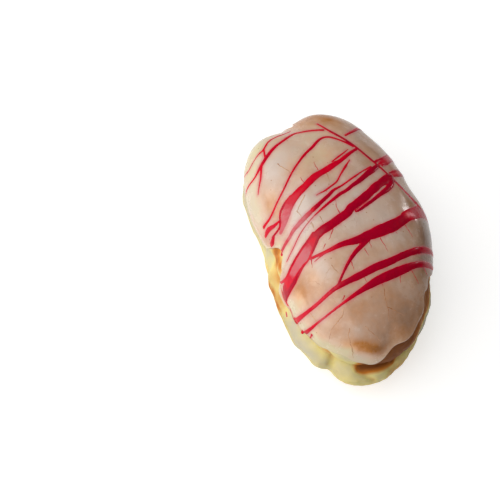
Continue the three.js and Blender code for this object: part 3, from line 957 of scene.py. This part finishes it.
def drizzle_samples(bun, icing):
    """Each strand's centre points on the icing, half widths and thickness: a smooth curve through its
    points, sampled evenly, its sizes following the same curve."""
    for number, strand in enumerate(STRANDS):
        points = np.array(strand.points, float)
        count = len(points)
        sizes = [np.broadcast_to(np.asarray(value, float), count) for value in strand[:2]]
        knots = np.column_stack([points, *sizes])
        padded = np.vstack([2 * knots[0] - knots[1], knots, 2 * knots[-1] - knots[-2]])
        spans = np.linalg.norm(np.diff(points, axis=0), axis=1)
        steps = np.maximum(2, np.ceil(spans.sum() / STRAND_STEP)).astype(int)
        way = np.linspace(0, count - 1, steps)
        span = np.minimum(way.astype(int), count - 2)
        t = (way - span)[:, None]
        a, b, c, d = (padded[span + i] for i in range(4))
        squared, cubed = 2 * a - 5 * b + 4 * c - d, 3 * b - a - 3 * c + d
        curve = 0.5 * (2 * b + (c - a) * t + squared * t**2 + cubed * t**3)
        centre, _ = drizzle_bed(curve[:, 0], curve[:, 1], bun, icing)
        half = curve[:, 2] / 2 * (1 + STRAND_WAVER * ripple(centre, STRAND_WAVER_SIZE, seed=100 + number))
        yield curve[:, :2], centre, np.maximum(half, LEAST_HALF_WIDTH), np.clip(curve[:, 3], 0, 1)


def drizzle_field(bun, icing):
    """Grid over the icing with the drizzle's field: 1 at a strand's middle line, 0 at its edge, as 1 less
    the square of the distance over the half width; strands join smoothly where they meet."""
    along, across = (np.arange(*ends, DRIZZLE_STEP) for ends in (DRIZZLE_ALONG, DRIZZLE_ACROSS))
    top, _ = drizzle_bed(*np.meshgrid(along, across, indexing="ij"), bun, icing)
    shape = top.shape[:2]
    field, gap, weights = (np.full(shape, value) for value in (FIELD_LOWEST, FAR_GAP, 1e-9))
    depth, width = np.zeros(shape), np.zeros(shape)
    for skin, centre, half, thick in drizzle_samples(bun, icing):
        window = tuple(
            slice(*np.searchsorted(axis, (place.min() - STRAND_MARGIN, place.max() + STRAND_MARGIN)))
            for axis, place in zip((along, across), skin.T)
        )
        points = top[window].reshape(-1, 3)
        value = np.empty(len(points))
        nearest = np.empty(len(points), int)
        for start in range(0, len(points), BATCH):
            batch = slice(start, start + BATCH)
            part = points[batch]
            square = (part**2).sum(1)[:, None] + (centre**2).sum(1)[None] - 2 * part @ centre.T
            score = 1 - square / half[None] ** 2
            nearest[batch] = score.argmax(1)
            value[batch] = score.max(1)
        value = value.reshape(top[window].shape[:2])
        nearest = nearest.reshape(value.shape)
        gap[window] = np.minimum(gap[window], half[nearest] * (np.sqrt(1 - value) - 1))
        value = np.maximum(value, FIELD_LOWEST)
        weight = np.exp(NEAREST_COUNTS * value)
        depth[window] += weight * thick[nearest]
        width[window] += weight * 2 * half[nearest]
        weights[window] += weight
        higher = np.maximum(field[window], value)
        blend = np.maximum(0, 1 - np.abs(field[window] - value) / JOIN) * (higher > JOIN_FROM)
        field[window] = higher + blend**2 * JOIN / 4
    field = field + EDGE_WAVER * ripple(top, EDGE_WAVER_SIZE, seed=21)
    return {
        "along": along, "across": across, "field": field, "gap": gap,
        "depth": depth / weights, "width": width / weights,
    }


def sample_grid(grid, label, along, across):
    """Value of a grid's layer at places over the icing, by weights of the four nearest points."""
    rows, columns = grid["along"], grid["across"]
    r = np.clip((along - rows[0]) / DRIZZLE_STEP, 0, len(rows) - 1.001)
    c = np.clip((across - columns[0]) / DRIZZLE_STEP, 0, len(columns) - 1.001)
    i, j = r.astype(int), c.astype(int)
    fr, fc = r - i, c - j
    layer = grid[label]
    first = layer[i, j] * (1 - fc) + layer[i, j + 1] * fc
    second = layer[i + 1, j] * (1 - fc) + layer[i + 1, j + 1] * fc
    return first * (1 - fr) + second * fr


def fine_lines(lines, width, height, icing):
    """Vertices and faces of thin ridges that run out to a point: a flat six-sided section carried along
    each line over the icing, wavering a little."""
    ring = np.radians(np.arange(0, 360, 360 / LINE_SIDES))
    vertices, faces, base = [], [], 0
    for number, line in enumerate(lines):
        knots = np.array(line, float)
        lengths = np.append(0, np.cumsum(np.linalg.norm(np.diff(knots, axis=0), axis=1)))
        way = np.linspace(0, lengths[-1], max(LINE_LEAST_RINGS, int(lengths[-1] / LINE_STEP)))
        path = np.stack([np.interp(way, lengths, knots[:, i]) for i in range(2)], -1)
        top, normals = icing_top(*skin_place(path[:, 0], path[:, 1]), icing)
        ahead = np.gradient(top, axis=0)
        sideways = np.cross(normals, ahead)
        sideways /= np.linalg.norm(sideways, axis=1, keepdims=True)
        waver = LINE_WAVER * ripple(top, LINE_WAVER_SIZE, seed=300 + number)
        thin = 1 + LINE_UNEVEN * ripple(top, LINE_UNEVEN_SIZE, seed=400 + number)
        thin *= np.sqrt(np.linspace(1, LINE_TIP, len(way)))
        swept = top + sideways * waver[:, None]
        profile = np.cos(ring)[None, :, None] * (sideways * (width / 2 * thin)[:, None])[:, None]
        rise = np.sin(ring)[None, :, None] * (normals * height)[:, None]
        vertices += [(swept[:, None] + profile + rise).reshape(-1, 3), swept[[0, -1]]]
        faces += [tuple(base + v for v in face) for face in ring_faces(len(way), len(ring))]
        base += len(way) * len(ring) + 2
    return np.vstack(vertices), faces


class DOUGHNUT_OT_bun(bpy.types.Operator):
    """Makes the fried bun"""

    bl_idname = "doughnut.bun"
    bl_label = "Bun"

    def execute(self, context):
        bun = context.scene.doughnut_bun
        turn = np.linspace(0, 360, BUN_AROUND, endpoint=False)[None]
        hidden = np.linspace(0, 1, BUN_HIDDEN_ROWS, endpoint=False)[1:]
        upper = CROWN_HEIGHT - (CROWN_HEIGHT - BUN_SHOWN_FROM) * hidden**2
        lower = np.linspace(BUN_SHOWN_FROM, 0, BUN_SHOWN_ROWS)
        under = np.linspace(1, 0, BUN_UNDER_ROWS, endpoint=False)[1:]
        z = np.concatenate([upper, lower, np.zeros(len(under))])[:, None]
        part = np.concatenate([np.ones(len(upper) + len(lower)), under])[:, None]
        direction = oval_direction(turn)
        fillet = bun.crease_fillet / MM
        points = bun_point(direction, z, fillet, part)
        normals = grid_normals(points)
        points = points + normals * bun_swell(points, direction, z, bun)[..., None]
        points[..., 2] = np.maximum(points[..., 2], 0)
        poles = [[*CROWN, CROWN_HEIGHT], [*CROWN, 0]]
        vertices = np.vstack([points.reshape(-1, 3), poles])
        mottle = ripple(points, MOTTLE_SIZE, seed=5)
        base = smooth(1 - part, *UNDER_RIM)
        side = bun_browning_and_shade(direction, z) + SIDE_MOTTLE * mottle
        browning_and_shade = side * (1 - base) + (UNDER_BROWN + UNDER_MOTTLE * mottle) * base
        browning_and_shade = np.append(browning_and_shade.ravel(), [1, UNDER_BROWN])
        # Painted shade: how much the colour is darkened on some places of the lower left side
        painted_shade = np.append(strongest(PAINTED_SHADES, direction, z).ravel(), [0, 0])
        make_piece(
            "bun", vertices, ring_faces(*points.shape[:2]), {"bake": np.clip(browning_and_shade, 0, 1), "painted_shade": painted_shade},
            fried_dough(bun), "dough", "dough",
        )
        return {"FINISHED"}


class DOUGHNUT_OT_icing(bpy.types.Operator):
    """Makes the sugar icing"""

    bl_idname = "doughnut.icing"
    bl_label = "Icing"

    def execute(self, context):
        icing = context.scene.doughnut_icing
        turn = np.linspace(0, 360, ICING_AROUND, endpoint=False)[None]
        whole = (icing.gap + icing.thickness + icing.sunk) / MM
        end, nose_reach = rim_slope(turn, icing)
        over = np.linspace(0, 1, ICING_ROWS + 1)[1:]
        nose = np.linspace(0, np.pi, ICING_NOSE_ROWS + 2)[1:-1]
        back = np.linspace(1, 0, ICING_UNDER_ROWS + 1)[:-1]
        reach = np.concatenate([over, np.ones(len(nose)), back])[:, None]
        bend = np.concatenate([np.zeros(len(over)), nose, np.full(len(back), np.pi)])[:, None]
        slope = end * reach + nose_reach * np.sin(bend)
        slope, turns = np.broadcast_arrays(slope, turn)
        top, normals = icing_top(turns, slope, icing)
        from_rim = (1 - reach) * end * SKIN_ACROSS / 90
        bead = rim_swell(turns, from_rim, icing) * (1 + np.cos(bend)) / 2
        lower = whole * (1 - np.cos(bend)) / 2
        points = top + normals * (bead - lower)[..., None]
        crown, _ = icing_top(np.zeros(1), np.zeros(1), icing)
        poles = np.vstack([crown, crown - [0, 0, whole]])
        vertices = np.vstack([points.reshape(-1, 3), poles])

        along = slope / 90 * SKIN_ALONG * np.cos(np.radians(turns))
        across = slope / 90 * SKIN_ACROSS * np.sin(np.radians(turns))
        grid = drizzle_field(context.scene.doughnut_bun, icing)
        stain = bell(np.maximum(sample_grid(grid, "gap", along, across), 0), STAIN_REACH)
        veil = np.full(along.shape, icing.veil)
        bake = np.full(along.shape, icing.bake)
        # Patches: whiter or browner places, and on the right side darker places that are partly painted shade
        for patch in ICING_PATCHES:
            near = bell(np.hypot(along - patch.along, across - patch.across), patch.radius)
            veil += patch.veil * near
            bake += patch.bake * near
        thin = turn_bell(THIN_RIM, turns)
        fade = thin * (1 - smooth(from_rim, *RIM_FADE))
        bake = bake * (1 - fade) + RIM_FADE_BAKE * fade
        veil = veil * (1 - RIM_FADE_VEIL * fade)
        veil += RIM_VEIL * (1 - thin) * bell(from_rim, RIM_VEIL_WIDTH)
        poles_of = {"veil": icing.veil, "bake": icing.bake, "stain": 0}
        attributes = {
            label: np.append(np.broadcast_to(values, along.shape).ravel(), [poles_of[label]] * 2)
            for label, values in (("veil", veil), ("bake", bake), ("stain", stain))
        }
        make_piece(
            "sugar_icing", vertices, ring_faces(*points.shape[:2]), attributes,
            sugar_icing(icing), "icing", "icing",
        )
        return {"FINISHED"}


class DOUGHNUT_OT_drizzle(bpy.types.Operator):
    """Makes the poured red drizzle"""

    bl_idname = "doughnut.drizzle"
    bl_label = "Drizzle"

    def execute(self, context):
        icing = context.scene.doughnut_icing
        drizzle = context.scene.doughnut_drizzle
        bun = context.scene.doughnut_bun
        grid = drizzle_field(bun, icing)
        field = grid["field"]
        inside = field > 0
        cell = inside[:-1, :-1] | inside[1:, :-1] | inside[1:, 1:] | inside[:-1, 1:]
        kept = np.zeros(field.shape, bool)
        for rows in (slice(None, -1), slice(1, None)):
            for columns in (slice(None, -1), slice(1, None)):
                kept[rows, columns] |= cell
        steep = np.gradient(field, DRIZZLE_STEP)
        steepness = steep[0] ** 2 + steep[1] ** 2 + 1e-6
        shift = np.where(inside, 0, np.clip(-field / steepness, 0, None))
        move = np.stack([shift * steep[0], shift * steep[1]], -1)
        far = np.linalg.norm(move, axis=-1, keepdims=True)
        move *= np.minimum(1, EDGE_MOVE * DRIZZLE_STEP / np.maximum(far, 1e-9))
        u, w = np.meshgrid(grid["along"], grid["across"], indexing="ij")
        along = (u + move[..., 0])[kept]
        across = (w + move[..., 1])[kept]
        top, normals = drizzle_bed(along, across, bun, icing)
        high = np.clip(field[kept], 0, 1) ** STRAND_ROUND
        size_share = np.clip(grid["width"][kept] / FULL_WIDTH, LEAST_SHARE, 1)
        depth = grid["depth"][kept]
        lift = drizzle.height / MM * high * size_share * (FILM_SHARE + (1 - FILM_SHARE) * depth)
        edge = ~inside[kept]
        upper = top + normals * np.where(edge, -EDGE_SUNK, lift)[:, None]
        lower = top - normals * (drizzle.sunk / MM)
        number = np.full(field.shape, -1)
        number[kept] = np.arange(len(along))
        twin = np.where(edge, np.arange(len(along)), len(along) + np.cumsum(~edge) - 1)
        corners = (np.s_[:-1, :-1], np.s_[1:, :-1], np.s_[1:, 1:], np.s_[:-1, 1:])
        quads = np.stack([number[corner][cell] for corner in corners], -1)
        faces = quads.tolist() + twin[quads[:, ::-1]].tolist()
        shade = depth * (EDGE_DEPTH + (1 - EDGE_DEPTH) * smooth(field[kept], *EDGE_DEPTH_ENDS))
        vertices = np.vstack([upper, lower[~edge]])
        make_piece(
            "red_drizzle", vertices, faces, {"depth": np.append(shade, shade[~edge])},
            red_icing(drizzle), "icing", "drizzle",
        )
        return {"FINISHED"}


class DOUGHNUT_OT_lines(bpy.types.Operator):
    """Makes the fine lines of the icing: feather lines, where the drizzle crept in, and bare cracks"""

    bl_idname = "doughnut.lines"
    bl_label = "Fine lines"

    def execute(self, context):
        icing = context.scene.doughnut_icing
        sizes = context.scene.doughnut_lines
        red = bpy.data.materials["red_icing"]
        kinds = (
            ("feather_lines", FEATHERS, sizes.feather_width, sizes.feather_height, red, "drizzle"),
            ("crack_lines", CRACKS, sizes.crack_width, sizes.crack_height, bare_crust(icing), "icing"),
        )
        for name, lines, width, height, material, slot in kinds:
            points, faces = fine_lines(lines, width / MM, height / MM, icing)
            depth = np.full(len(points), LINE_DEPTH)
            make_piece(name, points, faces, {"depth": depth}, material, "icing", slot)
        return {"FINISHED"}


class DOUGHNUT_OT_stage(bpy.types.Operator):
    """Sets the camera, the lamps and the floor"""

    bl_idname = "doughnut.stage"
    bl_label = "Stage"

    def execute(self, context):
        stage = context.scene.doughnut_stage
        az, el, roll = stage.azimuth, stage.elevation, stage.roll
        back = np.array([np.sin(az) * np.cos(el), -np.cos(az) * np.cos(el), np.sin(el)])
        level = np.array([np.cos(az), np.sin(az), 0])
        upright = np.cross(back, level)
        right = level * np.cos(roll) + upright * np.sin(roll)
        up = upright * np.cos(roll) - level * np.sin(roll)
        aim = np.array([CROWN[0] * MM, CROWN[1] * MM, stage.aim_height])
        place = aim + back * stage.distance - right * stage.right - up * stage.up

        def turned(axes, at):
            matrix = np.eye(4)
            matrix[:3, :3] = np.column_stack(axes)
            matrix[:3, 3] = at
            return Matrix(matrix.tolist())

        camera = bpy.data.cameras.new("camera")
        camera.lens = 85
        camera.sensor_width = 36
        camera.clip_start = 0.01
        holder = bpy.data.objects.new("camera", camera)
        holder.matrix_world = turned((right, up, back), place)
        context.scene.collection.objects.link(holder)
        context.scene.camera = holder

        # Lamps: name, power, width and distance in metres, and direction from the doughnut
        lamps = (
            ("key", stage.key, 1.8, 1.4, -0.44 * right + 0.24 * up + 0.78 * back),
            ("window", stage.window, 0.08, 0.7, 0.8 * right + 0.55 * up - 0.18 * back),
        )
        for name, watts, width, away, towards in lamps:
            towards = towards / np.linalg.norm(towards)
            side = np.cross((0, 0, 1), towards)
            side /= np.linalg.norm(side)
            lamp = bpy.data.lights.new(name, "AREA")
            lamp.energy = watts
            lamp.size = width
            bulb = bpy.data.objects.new(name, lamp)
            bulb.matrix_world = turned((side, np.cross(towards, side), towards), aim + towards * away)
            context.scene.collection.objects.link(bulb)

        world = bpy.data.worlds.new("soft_light")
        world.use_nodes = True
        world.node_tree.nodes["Background"].inputs["Color"].default_value = (1, 1, 1, 1)
        world.node_tree.nodes["Background"].inputs["Strength"].default_value = stage.ambient
        context.scene.world = world
        context.scene.view_settings.view_transform = "Standard"

        mesh = bpy.data.meshes.new("floor")
        square = np.array([(-1, -1, 0), (1, -1, 0), (1, 1, 0), (-1, 1, 0)]) * FLOOR_REACH
        mesh.from_pydata((square - (0, 0, FLOOR_GAP * MM)).tolist(), [], [(0, 1, 2, 3)])
        material, _, _ = start_material("lit_white_acrylic")
        finish_material(material, {
            "Base Color": (*stage.floor, 1),
            "Roughness": 0.9,
            "Emission Color": (1, 1, 1, 1),
            "Emission Strength": stage.glow,
        })
        mesh.materials.append(material)
        floor = bpy.data.objects.new("floor", mesh)
        context.scene.collection.objects.link(floor)
        return {"FINISHED"}


class DOUGHNUT_PT_parts(bpy.types.Panel):
    """Lists the doughnut's settings and makes its pieces"""

    bl_idname = "DOUGHNUT_PT_parts"
    bl_label = "Filled doughnut"
    bl_space_type = "VIEW_3D"
    bl_region_type = "UI"
    bl_category = "Doughnut"

    def draw(self, context):
        for label, _, operator in GROUPS:
            settings = getattr(context.scene, f"doughnut_{label}")
            box = self.layout.box()
            box.operator(operator.bl_idname)
            for name in settings.__annotations__:
                box.prop(settings, name)


GROUPS = (
    ("bun", BunSettings, DOUGHNUT_OT_bun),
    ("icing", IcingSettings, DOUGHNUT_OT_icing),
    ("drizzle", DrizzleSettings, DOUGHNUT_OT_drizzle),
    ("lines", LineSettings, DOUGHNUT_OT_lines),
    ("stage", StageSettings, DOUGHNUT_OT_stage),
)


def register():
    """Registers the settings, the operators and the panel."""
    for label, settings, operator in GROUPS:
        bpy.utils.register_class(settings)
        bpy.utils.register_class(operator)
        setattr(bpy.types.Scene, f"doughnut_{label}", bpy.props.PointerProperty(type=settings))
    bpy.utils.register_class(DOUGHNUT_PT_parts)


def unregister():
    """Takes the panel, the operators and the settings out again."""
    bpy.utils.unregister_class(DOUGHNUT_PT_parts)
    for label, settings, operator in reversed(GROUPS):
        delattr(bpy.types.Scene, f"doughnut_{label}")
        bpy.utils.unregister_class(operator)
        bpy.utils.unregister_class(settings)


def main():
    """Makes the pieces in order."""
    register()
    bpy.ops.doughnut.stage()
    bpy.ops.doughnut.bun()
    bpy.ops.doughnut.icing()
    bpy.ops.doughnut.drizzle()
    bpy.ops.doughnut.lines()


if __name__ == "__main__":
    main()
